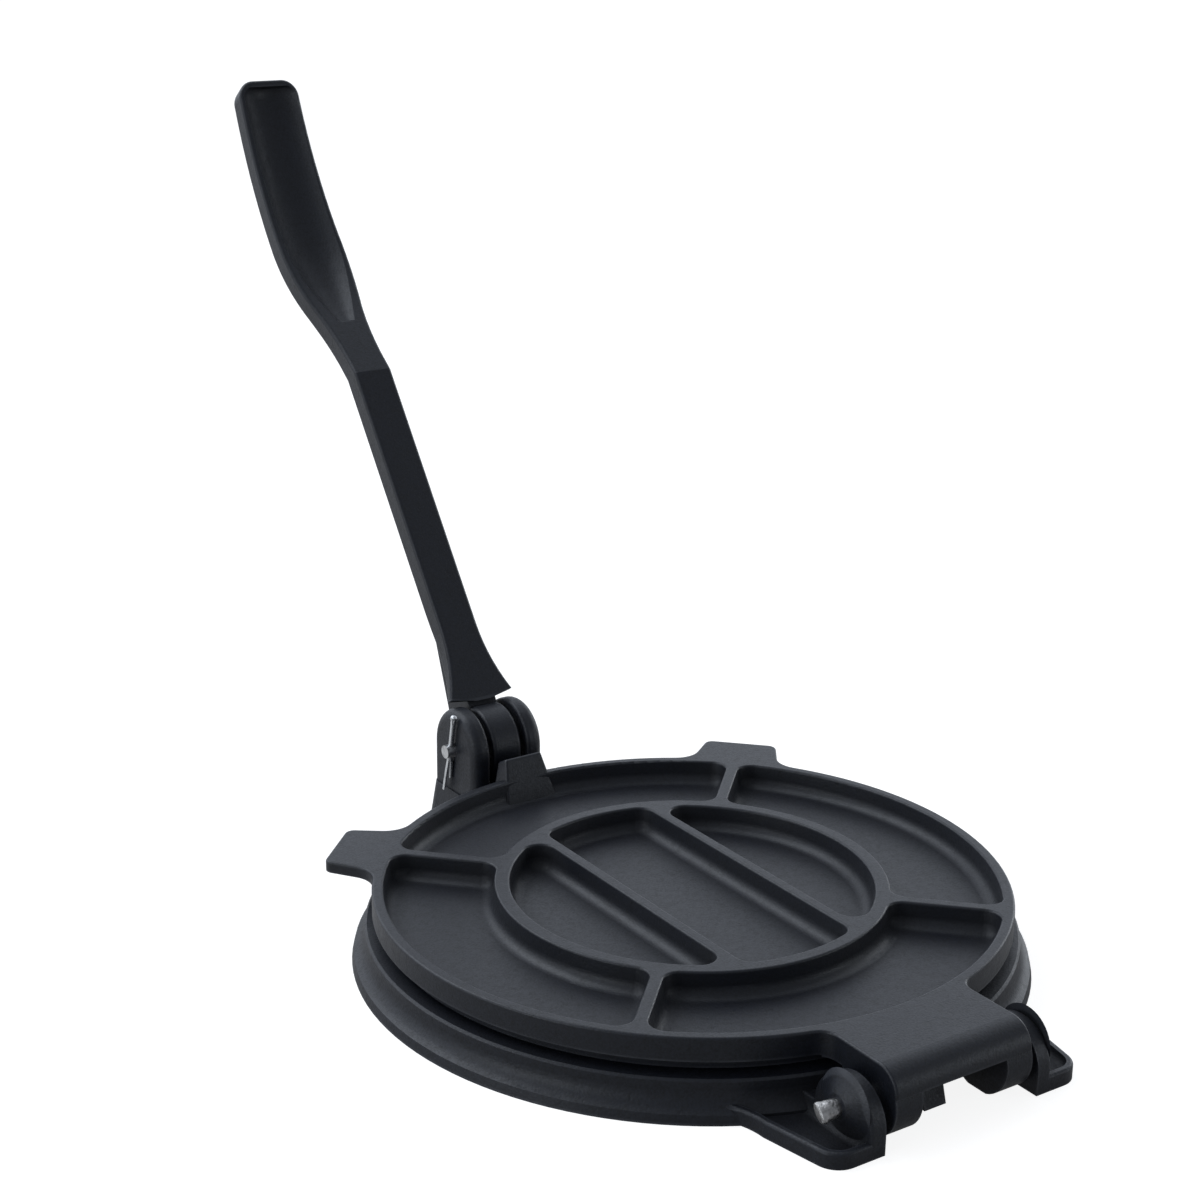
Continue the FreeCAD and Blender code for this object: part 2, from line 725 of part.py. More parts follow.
def lever_blade():
    """Blade and grip: the side view crossed with the front view."""
    kink, start, half, low, last_half, last = lever_line(0, 0)
    rear_line = lever_line(blade_thick, grip_thick)
    back_kink, back_start, back_half, back_low, back_last_half, back_last = rear_line
    rear = lever_front - blade_thick
    foot = flange_start - flange_sag
    heel = (foot + flange_slant, lever_front - flange_thick)
    profile = face_of(side, (foot, lever_front), [
        [kink],
        [start],
        [half, low],
        [last_half, last],
        [back_last],
        [back_last_half, back_low],
        [back_half, back_start],
        [back_kink],
        [(flange_blend, rear)],
        [bulged((flange_blend, rear), heel, flange_share), heel]])
    half = across(profile, 0, grip_half + cut_overrun)
    half = half.common(upright(half_lever_plan(), -lever_reach, lever_reach))
    solid = half.fuse(mirrored(half)).removeSplitter()

    def lengthwise(edge):
        ends = [vertex.Point for vertex in edge.Vertexes]
        run = abs(ends[0].y - ends[-1].y)
        steep = run > max(lever_edge, abs(ends[0].x - ends[-1].x) / 2)
        return steep and abs(edge.CenterOfMass.x) > blade_half / 2

    return rounded(solid, lever_edge, lengthwise).cut(grip_scoop())


def arc_beside(start, end):
    """Middle of an arc that leaves start along Y and ends at end."""
    run = end[1] - start[1]
    rise = end[0] - start[0]
    radius = (run ** 2 + rise ** 2) / (2 * rise)
    turn = math.asin(run / radius) / 2
    return (start[0] + radius * (1 - math.cos(turn)), start[1] + radius * math.sin(turn))


def half_lever_plan():
    """Right half of the lever's front view, laid flat with its length along Y."""
    middle = ((blade_half + grip_half) / 2, (grip_widen_start + grip_widen_end) / 2)
    wide = (grip_half, grip_widen_end)
    corner = grip_corner
    foot = flange_start - flange_sag
    return face_of(plan, (0, foot), [
        [(hub_half / 2, foot)],
        [(flange_half, flange_start)],
        [arc_beside((blade_half, flange_end), (flange_half, flange_start)), (blade_half, flange_end)],
        [(blade_half, grip_widen_start)],
        [arc_beside((blade_half, grip_widen_start), middle), middle],
        [arc_beside(wide, middle), wide],
        [(grip_end_half, lever_reach - corner)],
        [on_circle((grip_end_half - corner, lever_reach - corner), corner, 45),
         (grip_end_half - corner, lever_reach)],
        [(0, lever_reach)]])


def grip_front(along):
    """Height of neck or grip this far along the lever, and the angle its front face leans."""
    before = grip_low - along
    if before > neck_run:
        rise = (before - neck_run) * math.tan(math.radians(neck_angle))
        return neck_rise - grip_drop + rise, neck_angle
    radius = neck_radius if before > 0 else grip_radius
    lean = math.asin(before / radius)
    return -grip_drop + radius * (1 - math.cos(lean)), math.degrees(lean)


def trough_section(along, half, depth):
    """A round section across the grip: hollow below the front face, and open above it."""
    level, lean = grip_front(along)

    def spot(x, out):
        shift = on_circle((along, level), out, 90 - lean)
        return vector(x, shift[0], shift[1])

    above = scoop_depth
    slope = half * above / (2 * depth)
    edges = [Part.Arc(spot(-half, 0), spot(0, -depth), spot(half, 0)).toShape(),
             Part.makeLine(spot(half, 0), spot(half + slope, above)),
             Part.makeLine(spot(half + slope, above), spot(-half - slope, above)),
             Part.makeLine(spot(-half - slope, above), spot(-half, 0))]
    return Part.Wire(edges)


def grip_scoop():
    """Cutter for the long trough along the grip's front."""
    sections = []
    for index in range(scoop_slices):
        share = (index + 1) / scoop_slices
        swell = math.sin(math.radians(90 * share))
        along = scoop_start + (scoop_wide - scoop_start) * share
        sections.append(trough_section(along, scoop_half * swell, scoop_depth * swell))
    corner = scoop_end - scoop_corner
    for index in range(scoop_long_slices):
        share = (index + 1) / scoop_long_slices
        along = scoop_wide + (corner - scoop_wide) * share
        sections.append(trough_section(along, scoop_half, scoop_depth))
    for index in range(scoop_end_slices):
        angle = math.radians(scoop_end_turn * (index + 1) / scoop_end_slices)
        shrink = scoop_corner * (1 - math.cos(angle))
        along = corner + scoop_corner * math.sin(angle)
        depth = scoop_depth * (1 - shrink / scoop_half)
        sections.append(trough_section(along, scoop_half - shrink, depth))
    return Part.makeLoft(sections, True, False)


def lever_hub():
    """The hub, the web behind the flange, and the heel, laid as the blade is."""
    hub = rounded(bar_along_x(hub_radius, -hub_half, hub_half, 0, 0), hub_edge, is_ring)
    rear = lever_front - blade_thick
    far = (web_end, rear)
    reach = math.hypot(far[0], far[1])
    touch = math.degrees(math.atan2(far[1], far[0]) - math.acos(hub_radius / reach))
    web = across(face_of(side, (0, 0), [
        [on_circle((0, 0), hub_radius, touch)],
        [far],
        [(web_end, lever_front - flange_thick)],
        [(flange_start + flange_thick, lever_front - flange_thick / 2)],
        [(0, lever_front - flange_thick / 2)]]), -hub_half, hub_half)
    return hub.fuse(web)


def lever_heel():
    """The corner under the hub that rests on the arm and holds the lever back."""
    floor = base_top + heel_gap
    return across(face_of(side, (pivot_reach, floor), [
        [(pivot_reach + heel_reach, floor)],
        [(pivot_reach + hub_radius * math.cos(math.radians(45)),
          pivot_height - hub_radius * math.sin(math.radians(45)))],
        [(pivot_reach, pivot_height - hub_radius / 2)]]), -hub_half, hub_half)


def lever_handle():
    solid = lever_blade().fuse(lever_hub())
    solid.rotate(vector(0, 0, 0), vector(1, 0, 0), lever_lean)
    solid.translate(vector(0, pivot_reach, pivot_height))
    solid = solid.fuse(lever_heel()).removeSplitter()
    hole = bar_along_x(pivot_pin_radius + running_gap, -hub_half - cut_overrun,
                       hub_half + cut_overrun, pivot_reach, pivot_height)
    return solid.cut(hole)


# The pins


def hinge_pin():
    """A plain rod, hammered flat at its left end."""
    tip = -boss_outer - hinge_pin_stick
    neck = tip + hinge_peen_length
    right = boss_outer + hinge_pin_right
    rod = bar_along_x(hinge_pin_radius, neck, right, -hinge_reach, hinge_height)
    round_end = Part.Wire(Part.makeCircle(hinge_pin_radius, vector(neck, -hinge_reach, hinge_height),
                                          vector(1, 0, 0)))
    flat = Part.Ellipse(vector(tip, -hinge_reach, hinge_height), hinge_peen_half, hinge_peen_thick)
    flat_end = flat.toShape()
    flat_end.rotate(vector(tip, -hinge_reach, hinge_height), vector(0, 1, 0), 90)
    flat_end.rotate(vector(tip, -hinge_reach, hinge_height), vector(1, 0, 0), -hinge_peen_turn)
    return rod.fuse(Part.makeLoft([round_end, Part.Wire(flat_end)], True, True))


def split_place():
    """Distance of the split pin's middle from the middle of the press."""
    return cheek_outer + split_face_gap + split_wire_radius


def tilted(shape):
    """The shape turned about the lever's axis as the split pin is."""
    return shape.rotated(vector(0, pivot_reach, pivot_height), vector(1, 0, 0), split_tilt)


def lever_pin():
    """A headed pin with a cross hole for the split pin."""
    left = -cheek_outer - pivot_pin_stick
    right = cheek_outer + pivot_seat_gap
    pin = bar_along_x(pivot_pin_radius, left, right, pivot_reach, pivot_height)
    head = bar_along_x(pivot_head_radius, right, right + pivot_head_thick, pivot_reach, pivot_height)
    hole_radius = 2 * split_wire_radius + split_hole_gap
    hole = Part.makeCylinder(hole_radius, 2 * pivot_pin_radius + cut_overrun,
                             vector(-split_place(), pivot_reach,
                                    pivot_height - pivot_pin_radius - cut_overrun / 2))
    return pin.fuse(head).cut(tilted(hole))


def wire_between(start, end):
    way = end - start
    return Part.makeCylinder(split_wire_radius, way.Length, start, way)


def split_leg(hand, length):
    """One leg, from the eye down through the pin, then spread outwards."""
    x = -split_place()
    aside = split_wire_radius - split_squeeze
    near = pivot_reach + hand * aside
    drop = math.sqrt(split_eye_radius ** 2 - aside ** 2)
    top = vector(x, near, pivot_height + split_rise - drop)
    bend = vector(x, near, pivot_height - split_straight)
    end = vector(x, near + hand * split_spread, pivot_height - length)
    joints = [Part.makeSphere(split_wire_radius, spot) for spot in (top, bend)]
    return wire_between(top, bend).fuse([wire_between(bend, end)] + joints)


def cotter_pin():
    """A split pin: an open eye and two legs spread a little."""
    eye = vector(-split_place(), pivot_reach, pivot_height + split_rise)
    opening = math.degrees(math.asin((split_wire_radius - split_squeeze) / split_eye_radius))
    ring = Part.makeTorus(split_eye_radius, split_wire_radius, vector(0, 0, 0), vector(0, 0, 1),
                          -180, 180, 360 - 2 * opening)
    ring.rotate(vector(0, 0, 0), vector(0, 0, 1), opening)
    ring.rotate(vector(0, 0, 0), vector(0, 1, 0), 90)
    ring.translate(eye)
    legs = [split_leg(1, split_long_leg), split_leg(-1, split_short_leg)]
    return tilted(ring.fuse(legs))


def main():
    os.makedirs("parts", exist_ok=True)
    pieces = {
        "base_plate": base_plate(),
        "top_plate": top_plate(),
        "lever_handle": lever_handle(),
        "hinge_pin": hinge_pin(),
        "lever_pin": lever_pin(),
        "cotter_pin": cotter_pin(),
    }
    front = min(shape.optimalBoundingBox().YMin for shape in pieces.values())
    back = max(shape.optimalBoundingBox().YMax for shape in pieces.values())
    middle = (front + back) / 2
    for name, shape in pieces.items():
        shape.translate(vector(0, -middle, 0))
        shape.exportStep(f"parts/{name}.step")
        print(name, "valid" if shape.isValid() else "broken", round(shape.Volume), "mm3")
    print("disc centre at y", round(-middle, 3))
    print("hinge axis at", round(-hinge_reach - middle, 3), hinge_height)
    print("lever axis at", round(pivot_reach - middle, 3), pivot_height)


main()
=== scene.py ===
import json
import math

import bpy
from mathutils import Matrix, Vector, noise


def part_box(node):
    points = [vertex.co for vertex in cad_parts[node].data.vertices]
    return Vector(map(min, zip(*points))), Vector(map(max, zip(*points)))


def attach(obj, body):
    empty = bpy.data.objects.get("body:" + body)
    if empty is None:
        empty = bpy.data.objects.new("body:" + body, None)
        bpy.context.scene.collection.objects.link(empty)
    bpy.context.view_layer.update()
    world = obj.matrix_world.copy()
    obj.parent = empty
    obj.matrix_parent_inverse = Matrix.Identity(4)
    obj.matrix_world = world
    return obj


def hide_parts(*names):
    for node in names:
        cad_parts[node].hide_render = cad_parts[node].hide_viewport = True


# A hand press of cast iron with bright steel pins. Metres and degrees, +Z up,
# the plate hinge at -Y and the lever at +Y.

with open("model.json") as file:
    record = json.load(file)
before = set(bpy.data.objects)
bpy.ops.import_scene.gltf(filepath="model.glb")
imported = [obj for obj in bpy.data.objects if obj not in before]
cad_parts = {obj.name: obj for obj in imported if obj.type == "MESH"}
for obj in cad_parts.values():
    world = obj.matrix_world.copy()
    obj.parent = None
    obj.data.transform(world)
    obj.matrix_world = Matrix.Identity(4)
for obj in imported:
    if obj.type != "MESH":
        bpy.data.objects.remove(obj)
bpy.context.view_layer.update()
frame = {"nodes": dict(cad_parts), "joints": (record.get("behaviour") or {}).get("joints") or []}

MM = 0.001

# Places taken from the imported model
wire_low, wire_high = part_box("cotter_pin")
rod_low, rod_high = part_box("hinge_pin")
hinge_spot = Vector(frame["joints"][0]["pos_m"])
pivot_spot = Vector(frame["joints"][1]["pos_m"])

# The split pin, in millimetres and degrees. Its spots are across and up from the pivot.
wire_radius = 0.90
wire_shift = 0.30           # how much further out it stands than its solid
wire_tilt = 11.0            # turn about the lever's axis
wire_twist = 40.0           # turn about its own length
wire_points = 10
wire_turn = -math.pi / 2    # puts the flat side of the half-round wire inwards
long_leg_spots = [(0.60, -16.3), (0.36, -9.0), (0.10, -4.5), (0.03, -2.6), (0.03, 0.0),
                  (0.03, 6.0), (0.03, 10.9), (0.12, 11.6)]
short_leg_spots = [(-0.12, 11.6), (-0.03, 10.9), (-0.03, 6.0), (-0.03, 0.0), (-0.03, -2.6),
                   (-0.25, -3.4), (-0.60, -4.6), (-0.80, -10.8)]
eye_height = 13.4
eye_radius = 0.38
eye_start = -62.0
eye_sweep = 304.0
eye_steps = 24
wire_crease = 40.0          # edges sharper than this stay sharp

# The hinge rod, in millimetres and degrees. Its rows are place along it, half width, half thickness.
rod_radius = 2.5
beaten_length = 5.9
beaten_rows = [(0.0, 2.7, 1.2), (0.2, 3.00, 1.5), (0.6, 3.16, 1.75), (1.1, 3.18, 1.95),
               (1.4, 3.12, 2.1), (1.6, 2.98, 2.15), (1.9, 2.94, 2.3), (2.6, 2.92, 2.44),
               (3.6, 2.86, 2.50), (4.8, 2.76, 2.52), (beaten_length, rod_radius, rod_radius)]
row_step = 0.3              # rows of the beaten end are no further apart
plain_places = (30.0, 60.0)
end_edge = 0.4              # length of the worn edge at the rod's right end
end_middle = 0.12
end_middle_radius = 2.38
end_radius = 2.1
rod_slant = 45.0            # turn of the beaten end about the rod, from level
rod_sides = 48
rod_crease = 50.0
blow_depth_share = 0.10
fine_depth_share = 0.04
blow_along = 0.7
blow_round = 1.6
fine_blow_scale = 2.9
blow_seed = Vector((3.1, 7.4, 1.9))

# The stage, in metres
floor_half = 6.0
floor_tone = (0.34, 0.34, 0.34, 1.0)
floor_seen = 0.88           # glow of the floor as the camera sees it
floor_front_glow = 0.12     # and as the press sees it, in front and at the back
floor_back_glow = 0.5
white = (1.0, 1.0, 1.0, 1.0)
sky_tint = (0.84, 0.90, 1.0, 1.0)
sky_front = 0.42
sky_back = 1.3
sky_plain_share = 0.45      # how much of the backdrop lights what isn't a reflection
key_tint = (0.86, 0.92, 1.0)
side_tint = (0.88, 0.94, 1.0)
right_tint = (0.90, 0.95, 1.0)
camera_spot = Vector((-0.39064, -0.60405, 0.33282))
camera_way = Vector((0.53341, 0.78493, -0.31522))
camera_roll = 0.750         # degrees
camera_lens = 67.284        # millimetres, on a sensor this wide
sensor_width = 36.0


# Shader building


def add_node(tree, kind, values=None, **settings):
    """A node with its settings, and its inputs set by name or number."""
    made = tree.nodes.new(kind)
    for name, value in settings.items():
        setattr(made, name, value)
    for name, value in (values or {}).items():
        if isinstance(value, bpy.types.NodeSocket):
            tree.links.new(value, made.inputs[name])
        else:
            made.inputs[name].default_value = value
    return made


def math_node(tree, operation, *values, clamp=False):
    """The result of one sum on sockets or numbers."""
    made = add_node(tree, "ShaderNodeMath", dict(enumerate(values)), operation=operation,
                    use_clamp=clamp)
    return made.outputs[0]


def blended(tree, factor, first, second):
    """The colour between two colours."""
    made = add_node(tree, "ShaderNodeMix", data_type="RGBA")
    for index, value in ((0, factor), (6, first), (7, second)):
        if isinstance(value, bpy.types.NodeSocket):
            tree.links.new(value, made.inputs[index])
        else:
            made.inputs[index].default_value = value
    return made.outputs[2]


def between(tree, value, low, high, to_low=0.0, to_high=1.0):
    """The value mapped smoothly from one range to another."""
    made = add_node(tree, "ShaderNodeMapRange", {"Value": value, "From Min": low, "From Max": high,
                                                 "To Min": to_low, "To Max": to_high},
                    interpolation_type="SMOOTHSTEP")
    return made.outputs[0]


def new_group(name, inputs, outputs):
    """A shader node group with named number inputs and outputs."""
    tree = bpy.data.node_groups.new(name, "ShaderNodeTree")
    for title, value in inputs:
        socket = tree.interface.new_socket(title, in_out="INPUT", socket_type="NodeSocketFloat")
        socket.default_value = value
    for title in outputs:
        tree.interface.new_socket(title, in_out="OUTPUT", socket_type="NodeSocketFloat")
    return tree, tree.nodes.new("NodeGroupInput").outputs, tree.nodes.new("NodeGroupOutput").inputs


def noise_at(tree, place, size, detail, rough=0.55):
    """Noise whose lumps are about this large."""
    made = add_node(tree, "ShaderNodeTexNoise", {
        "Vector": place, "Scale": math_node(tree, "DIVIDE", 1.0, size), "Detail": detail,
        "Roughness": rough})
    return made.outputs["Fac"]


def cast_grain_group():
    """The skin that a sand mould leaves: fine grain, small pits and a slow swell."""
    tree, given, out = new_group("cast_grain", (
        ("Grain Size", 0.7 * MM), ("Pit Size", 2.6 * MM), ("Swell Size", 14 * MM),
        ("Pit Share", 0.35), ("Swell Share", 1.6)), ("Height", "Mottle"))
    place = tree.nodes.new("ShaderNodeTexCoord").outputs["Object"]
    grain = noise_at(tree, place, given["Grain Size"], 3.0)
    pits = noise_at(tree, place, given["Pit Size"], 2.0)
    swell = noise_at(tree, place, given["Swell Size"], 1.0)
    pit_depth = between(tree, pits, 0.58, 0.75)
    pitted = math_node(tree, "MULTIPLY", pit_depth, given["Pit Share"])
    swollen = math_node(tree, "MULTIPLY", swell, given["Swell Share"])
    height = math_node(tree, "ADD", math_node(tree, "SUBTRACT", grain, pitted), swollen)
    tree.links.new(height, out["Height"])
    mottle = math_node(tree, "MULTIPLY", grain, math_node(tree, "ADD", pits, 0.5))
    tree.links.new(mottle, out["Mottle"])
    return tree


def edge_wear_and_highlight_group():
    """The outer edges, broken up by noise: where handling has rubbed them, and where a highlight is
    painted on.
    """
    tree, given, out = new_group("worn_edge", (
        ("Reach", 1.2 * MM), ("Patch Size", 9 * MM), ("Start", 0.12), ("Full", 0.5)), ("Wear_And_Highlight",))
    inside = add_node(tree, "ShaderNodeAmbientOcclusion", {"Distance": given["Reach"]},
                      inside=True, only_local=True, samples=8)
    edge = math_node(tree, "SUBTRACT", 1.0, inside.outputs["AO"])
    place = tree.nodes.new("ShaderNodeTexCoord").outputs["Object"]
    patch = between(tree, noise_at(tree, place, given["Patch Size"], 3.0), 0.35, 0.65, 0.45, 1.0)
    worn_and_lit = between(tree, edge, given["Start"], given["Full"])
    tree.links.new(math_node(tree, "MULTIPLY", worn_and_lit, patch), out["Wear_And_Highlight"])
    return tree


def hollow_shade_group():
    """How enclosed a spot is: the mask that paints shade into pocket floors and corners and makes
    them more matte.
    """
    tree, given, out = new_group("hollow_shade", (("Reach", 16 * MM), ("Start", 0.1), ("Full", 0.6)),
                                 ("Shelter",))
    outside = add_node(tree, "ShaderNodeAmbientOcclusion", {"Distance": given["Reach"]},
                       only_local=True, samples=8)
    shelter = math_node(tree, "SUBTRACT", 1.0, outside.outputs["AO"])
    tree.links.new(between(tree, shelter, given["Start"], given["Full"]), out["Shelter"])
    return tree


def placed_group(tree, group, **values):
    """A group in a material, with its own values for that material."""
    made = add_node(tree, "ShaderNodeGroup", node_tree=group)
    for name, value in values.items():
        made.inputs[name.replace("_", " ").title()].default_value = value
    return made.outputs


def new_material(name):
    """A material, its tree and its Principled shader."""
    made = bpy.data.materials.new(name)
    made.use_nodes = True
    return made, made.node_tree, made.node_tree.nodes["Principled BSDF"]


def bump_onto(tree, shader, height, depth, strength=1.0):
    bump = add_node(tree, "ShaderNodeBump", {"Height": height, "Distance": depth,
                                             "Strength": strength})
    tree.links.new(bump.outputs["Normal"], shader.inputs["Normal"])


cast_grain = cast_grain_group()
worn_edge = edge_wear_and_highlight_group()
hollow_shade = hollow_shade_group()


def seasoned_iron(name, skin, shade_and_mottle_tone, wear_and_highlight_tone, gloss, grain_depth, **sizes):
    """Black oiled cast iron: matte and painted darker as shade in its hollows, smoother on top,
    lighter along its edges from wear and a painted highlight.
    """
    made, tree, shader = new_material(name)
    grain = placed_group(tree, cast_grain, **sizes)
    wear_and_highlight = placed_group(tree, worn_edge)["Wear_And_Highlight"]
    shelter = placed_group(tree, hollow_shade)["Shelter"]
    # painted shade: the colour turns to the darker tone where the spot is enclosed
    colour = blended(tree, shelter, skin, shade_and_mottle_tone)
    mottle = between(tree, grain["Mottle"], 0.3, 0.8)
    colour = blended(tree, mottle, colour, shade_and_mottle_tone)
    # edges lightened: partly wear, partly a painted highlight on the edge roundings
    colour = blended(tree, math_node(tree, "MULTIPLY", wear_and_highlight, 0.6), colour, wear_and_highlight_tone)
    tree.links.new(colour, shader.inputs["Base Color"])
    rough = between(tree, shelter, 0.0, 1.0, gloss, 0.68)
    rough = math_node(tree, "ADD", rough, between(tree, grain["Mottle"], 0.2, 0.9, -0.05, 0.07))
    rough = math_node(tree, "SUBTRACT", rough, math_node(tree, "MULTIPLY", wear_and_highlight, 0.08))
    tree.links.new(rough, shader.inputs["Roughness"])
    shader.inputs["Specular IOR Level"].default_value = 0.34
    bump_onto(tree, shader, grain["Height"], grain_depth)
    return made


def bright_steel(name, tone, rough, dent_size, dent_depth, streak_size):
    """Bright drawn steel with fine streaks along it and shallow dents."""
    made, tree, shader = new_material(name)
    place = tree.nodes.new("ShaderNodeTexCoord").outputs["Object"]
    stretched = add_node(tree, "ShaderNodeMapping", {"Vector": place, "Scale": (0.08, 1.0, 1.0)})
    streaks = noise_at(tree, stretched.outputs["Vector"], streak_size, 4.0)
    dents = noise_at(tree, place, dent_size, 2.0)
    tarnish = between(tree, noise_at(tree, place, 3.5 * MM, 3.0), 0.45, 0.75)
    dull = tuple(share * 0.55 for share in tone[:3]) + (1.0,)
    colour = blended(tree, tarnish, tone, dull)
    tree.links.new(colour, shader.inputs["Base Color"])
    shader.inputs["Metallic"].default_value = 1.0
    tree.links.new(between(tree, streaks, 0.3, 0.7, rough - 0.08, rough + 0.12),
                   shader.inputs["Roughness"])
    height = math_node(tree, "ADD", dents, math_node(tree, "MULTIPLY", streaks, 0.15))
    bump_onto(tree, shader, height, dent_depth)
    return made


def dress(node, material):
    """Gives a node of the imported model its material."""
    slots = frame["nodes"][node].material_slots
    for slot in slots:
        slot.link = "OBJECT"
        slot.material = material


iron_skin = (0.0092, 0.0108, 0.0160, 1.0)
# darker iron tone: painted shade in the hollows, and the random mottle of the cast grain
iron_shade_and_mottle = (0.0033, 0.0038, 0.0056, 1.0)
# lighter edge tone: partly wear, partly a painted highlight
iron_wear_and_highlight = (0.060, 0.063, 0.072, 1.0)

dress("base_plate", seasoned_iron("base_iron", iron_skin, iron_shade_and_mottle, iron_wear_and_highlight,
                                  gloss=0.46, grain_depth=0.10 * MM, grain_size=0.8 * MM))
dress("top_plate", seasoned_iron("plate_iron", iron_skin, iron_shade_and_mottle, iron_wear_and_highlight,
                                 gloss=0.42, grain_depth=0.07 * MM, grain_size=0.7 * MM))
dress("lever_handle", seasoned_iron("lever_iron", iron_skin, iron_shade_and_mottle, iron_wear_and_highlight,
                                    gloss=0.42, grain_depth=0.08 * MM, grain_size=0.7 * MM,
                                    swell_size=22 * MM))
rod_steel = bright_steel("rod_steel", (0.43, 0.42, 0.41, 1.0), 0.40, 1.4 * MM, 0.35 * MM,
                         0.25 * MM)
wire_steel = bright_steel("wire_steel", (0.66, 0.67, 0.68, 1.0), 0.28, 1.2 * MM, 0.05 * MM,
                          0.2 * MM)
dress("lever_pin", bright_steel("pin_steel", (0.58, 0.58, 0.58, 1.0), 0.34, 2.0 * MM,
                                0.12 * MM, 0.25 * MM))


# The split pin, half-round wire folded round its eye


def wire_tree():
    """Sweeps a half-round wire along a path, with its flat side inwards."""
    tree = bpy.data.node_groups.new("half_round_wire", "GeometryNodeTree")
    for title, kind in (("Path", "NodeSocketGeometry"), ("Wire Radius", "NodeSocketFloat"),
                        ("Arc Points", "NodeSocketInt"), ("Finish", "NodeSocketMaterial")):
        tree.interface.new_socket(title, in_out="INPUT", socket_type=kind)
    tree.interface.new_socket("Wire", in_out="OUTPUT", socket_type="NodeSocketGeometry")
    given = tree.nodes.new("NodeGroupInput").outputs
    out = tree.nodes.new("NodeGroupOutput").inputs
    curve = add_node(tree, "GeometryNodeMeshToCurve", {"Mesh": given["Path"]})
    flat = add_node(tree, "GeometryNodeSetCurveNormal", {"Curve": curve.outputs[0]}, mode="Z_UP")
    arc = add_node(tree, "GeometryNodeCurveArc", {
        "Resolution": given["Arc Points"], "Radius": given["Wire Radius"],
        "Start Angle": wire_turn, "Sweep Angle": math.pi})
    half = add_node(tree, "GeometryNodeSetSplineCyclic", {"Geometry": arc.outputs[0],
                                                          "Cyclic": True})
    swept = add_node(tree, "GeometryNodeCurveToMesh", {
        "Curve": flat.outputs[0], "Profile Curve": half.outputs[0], "Fill Caps": True})
    real = add_node(tree, "GeometryNodeRealizeInstances", {"Geometry": swept.outputs[0]})
    made = add_node(tree, "GeometryNodeSetMaterial", {"Geometry": real.outputs[0],
                                                      "Material": given["Finish"]})
    tree.links.new(made.outputs[0], out["Wire"])
    return tree


def plain_copy(name, source, tree, **values):
    """The plain mesh that a node tree makes of a source object, under a new name."""
    step = source.modifiers.new("shape", "NODES")
    step.node_group = tree
    for socket in tree.interface.items_tree:
        title = socket.name.replace(" ", "_").lower()
        if socket.in_out == "INPUT" and title in values:
            step[socket.identifier] = values[title]
    seen = source.evaluated_get(bpy.context.evaluated_depsgraph_get())
    mesh = bpy.data.meshes.new_from_object(seen)
    source.modifiers.remove(step)
    bpy.data.objects.remove(source)
    mesh.name = name
    return linked(name, mesh)


def linked(name, data):
    """A new object in the scene."""
    made = bpy.data.objects.new(name, data)
    bpy.context.scene.collection.objects.link(made)
    return made


def smoothed(mesh, crease):
    """Smooth shading that keeps the sharp edges sharp."""
    for face in mesh.polygons:
        face.use_smooth = True
    mesh.set_sharp_from_angle(angle=math.radians(crease))


def split_pin():
    """Long leg, eye and short leg on one path, turned about the lever's axis."""
    eye = []
    for index in range(eye_steps + 1):
        angle = math.radians(eye_start + eye_sweep * index / eye_steps)
        eye.append((eye_radius * math.cos(angle), eye_height + eye_radius * math.sin(angle)))
    spots = long_leg_spots + eye + short_leg_spots
    edges = [(index, index + 1) for index in range(len(spots) - 1)]
    path = bpy.data.meshes.new("split_pin_path")
    path.from_pydata([(across * MM, up * MM, 0.0) for across, up in spots], edges, [])
    made = plain_copy("split_pin", linked("split_pin_path", path), wire_tree(),
                      wire_radius=wire_radius * MM, arc_points=wire_points, finish=wire_steel)
    place = Vector(((wire_low.x + wire_high.x) / 2 - wire_shift * MM, pivot_spot.y, pivot_spot.z))
    tilt = Matrix.Rotation(math.radians(wire_tilt), 4, "X")
    twist = Matrix.Rotation(math.radians(wire_twist), 4, "Z")
    stand = Matrix(((0, 0, 1, 0), (1, 0, 0, 0), (0, 1, 0, 0), (0, 0, 0, 1)))
    made.data.transform(Matrix.Translation(place) @ (tilt @ twist) @ stand)
    smoothed(made.data, wire_crease)
    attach(made, "base")
    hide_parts("cotter_pin")


# The hinge rod, with its hammered end


def ring_shell(name, rings):
    """A closed mesh through rings of points, with a face over each end."""
    count = len(rings[0])
    spots = [spot for ring in rings for spot in ring]
    faces = []
    for row in range(len(rings) - 1):
        for column in range(count):
            after = (column + 1) % count
            faces.append((row * count + column, row * count + after,
                          (row + 1) * count + after, (row + 1) * count + column))
    faces.append(tuple(reversed(range(count))))
    faces.append(tuple(range(len(spots) - count, len(spots))))
    mesh = bpy.data.meshes.new(name)
    mesh.from_pydata(spots, [], faces)
    return mesh


def finer(rows, step, until):
    """The rows with others between them, no further apart than step until that place."""
    more = [rows[0]]
    for row in rows[1:]:
        start = more[-1]
        count = max(1, math.ceil((row[0] - start[0]) / step)) if row[0] <= until else 1
        for index in range(1, count + 1):
            share = index / count
            more.append(tuple(a + (b - a) * share for a, b in zip(start, row)))
    return more


